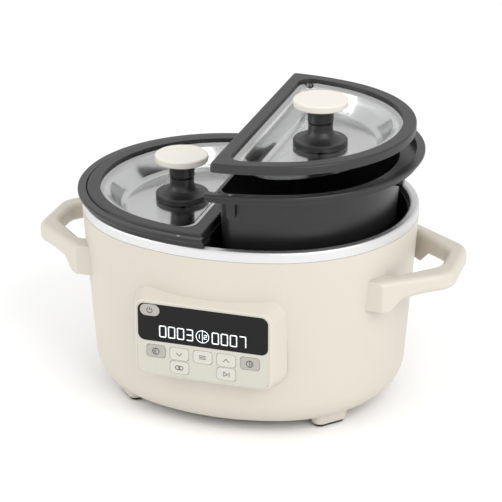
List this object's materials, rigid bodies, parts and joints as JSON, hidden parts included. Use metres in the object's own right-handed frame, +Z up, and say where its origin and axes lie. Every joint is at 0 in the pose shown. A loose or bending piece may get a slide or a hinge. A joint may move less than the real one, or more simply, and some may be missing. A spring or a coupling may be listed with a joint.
{
  "type": "slow cooker",
  "caption": "Oval electric slow cooker with side handles, sloped control panel, and lift-out D-shaped pots with knobbed glass lids",
  "frame": {"origin": "on the floor, under the middle of the oval body", "axes": "+Z up, -Y towards the front with the control panel, X along the long axis through both handles"},
  "size_m": [0.423, 0.2966, 0.3039],
  "materials": {
    "housing": "fine satin grain",
    "trim_steel": "bead blasted",
    "well_coating": "satin",
    "foot_rubber": "matte",
    "fascia": "satin",
    "window": "polished",
    "display": "polished",
    "circuit_board": "satin",
    "screw_steel": "plated",
    "switch_plastic": "satin",
    "button_grey": "satin",
    "button_light": "satin",
    "insulation": "woven glass fibre",
    "shield_metal": "mill finish",
    "relay_plastic": "satin",
    "transformer_wrap": "tape",
    "capacitor_sleeve": "gloss",
    "cover_plastic": "grained",
    "gland_rubber": "matte",
    "pot_coating": "dark non-stick, satin",
    "silicone": "satin silicone",
    "lid_glass": "clear tempered",
    "eyelet_steel": "polished",
    "knob_dark": "satin",
    "knob_cream": "satin gloss",
    "heater_sheet": "mica sheet",
    "heater_plate": "cast",
    "sensor_ceramic": "matt"
  },
  "bodies": {
    "base": {"outer_housing": "housing", "rim_trim": "trim_steel", "heating_well": "well_coating", "foot_pads": "foot_rubber", "control_fascia": "fascia", "display_window": "window", "display_module": "display", "control_board": "circuit_board", "board_screws": "screw_steel", "key_switches": "switch_plastic", "insulation_sleeve": "insulation", "heat_shield": "shield_metal", "power_board": "circuit_board", "relays": "relay_plastic", "transformer": "transformer_wrap", "capacitor": "capacitor_sleeve", "bottom_cover": "cover_plastic", "cover_screws": "screw_steel", "cord_gland": "gland_rubber", "left_wall_heater": "heater_sheet", "left_base_heater": "heater_plate", "left_thermistor": "sensor_ceramic", "right_wall_heater": "heater_sheet", "right_base_heater": "heater_plate", "right_thermistor": "sensor_ceramic"},
    "left_pot_body": {"left_pot": "pot_coating"},
    "left_lid_body": {"left_lid_rim": "silicone", "left_lid_glass": "lid_glass", "left_vent_eyelet": "eyelet_steel", "left_knob_base": "knob_dark", "left_knob_stem": "knob_dark", "left_knob_cap": "knob_cream", "left_knob_washer": "silicone", "left_knob_screw": "screw_steel"},
    "right_pot_body": {"right_pot": "pot_coating"},
    "right_lid_body": {"right_lid_rim": "silicone", "right_lid_glass": "lid_glass", "right_vent_eyelet": "eyelet_steel", "right_knob_base": "knob_dark", "right_knob_stem": "knob_dark", "right_knob_cap": "knob_cream", "right_knob_washer": "silicone", "right_knob_screw": "screw_steel"},
    "power_key": {"power_button": "button_grey"},
    "left_pot_key": {"left_pot_button": "button_grey"},
    "down_key": {"down_button": "button_light"},
    "select_key": {"select_button": "button_light"},
    "up_key": {"up_button": "button_light"},
    "right_pot_key": {"right_pot_button": "button_grey"},
    "together_key": {"together_button": "button_light"},
    "start_key": {"start_button": "button_light"}
  },
  "joints": [
    {"name": "left_pot_lift", "type": "slide", "parent": "base", "child": "left_pot_body", "axis": [0, 0, 1], "range_m": [0, 0.135]},
    {"name": "left_lid_lift", "type": "slide", "parent": "left_pot_body", "child": "left_lid_body", "axis": [0, 0, 1], "range_m": [0, 0.08]},
    {"name": "right_pot_lift", "type": "slide", "parent": "base", "child": "right_pot_body", "axis": [0, 0, 1], "range_m": [-0.046, 0.095]},
    {"name": "right_lid_lift", "type": "slide", "parent": "right_pot_body", "child": "right_lid_body", "axis": [0, 0, 1], "range_m": [-0.025, 0.06]},
    {"name": "power_press", "type": "slide", "parent": "base", "child": "power_key", "axis": [0, 1, 0], "range_m": [0, 0.0006], "stiffness_N_per_m": 500, "springref_m": -0.001},
    {"name": "left_pot_press", "type": "slide", "parent": "base", "child": "left_pot_key", "axis": [0, 1, 0], "range_m": [0, 0.0006], "stiffness_N_per_m": 500, "springref_m": -0.001},
    {"name": "down_press", "type": "slide", "parent": "base", "child": "down_key", "axis": [0, 1, 0], "range_m": [0, 0.0006], "stiffness_N_per_m": 500, "springref_m": -0.001},
    {"name": "select_press", "type": "slide", "parent": "base", "child": "select_key", "axis": [0, 1, 0], "range_m": [0, 0.0006], "stiffness_N_per_m": 500, "springref_m": -0.001},
    {"name": "up_press", "type": "slide", "parent": "base", "child": "up_key", "axis": [0, 1, 0], "range_m": [0, 0.0006], "stiffness_N_per_m": 500, "springref_m": -0.001},
    {"name": "right_pot_press", "type": "slide", "parent": "base", "child": "right_pot_key", "axis": [0, 1, 0], "range_m": [0, 0.0006], "stiffness_N_per_m": 500, "springref_m": -0.001},
    {"name": "together_press", "type": "slide", "parent": "base", "child": "together_key", "axis": [0, 1, 0], "range_m": [0, 0.0006], "stiffness_N_per_m": 500, "springref_m": -0.001},
    {"name": "start_press", "type": "slide", "parent": "base", "child": "start_key", "axis": [0, 1, 0], "range_m": [0, 0.0006], "stiffness_N_per_m": 500, "springref_m": -0.001}
  ]
}
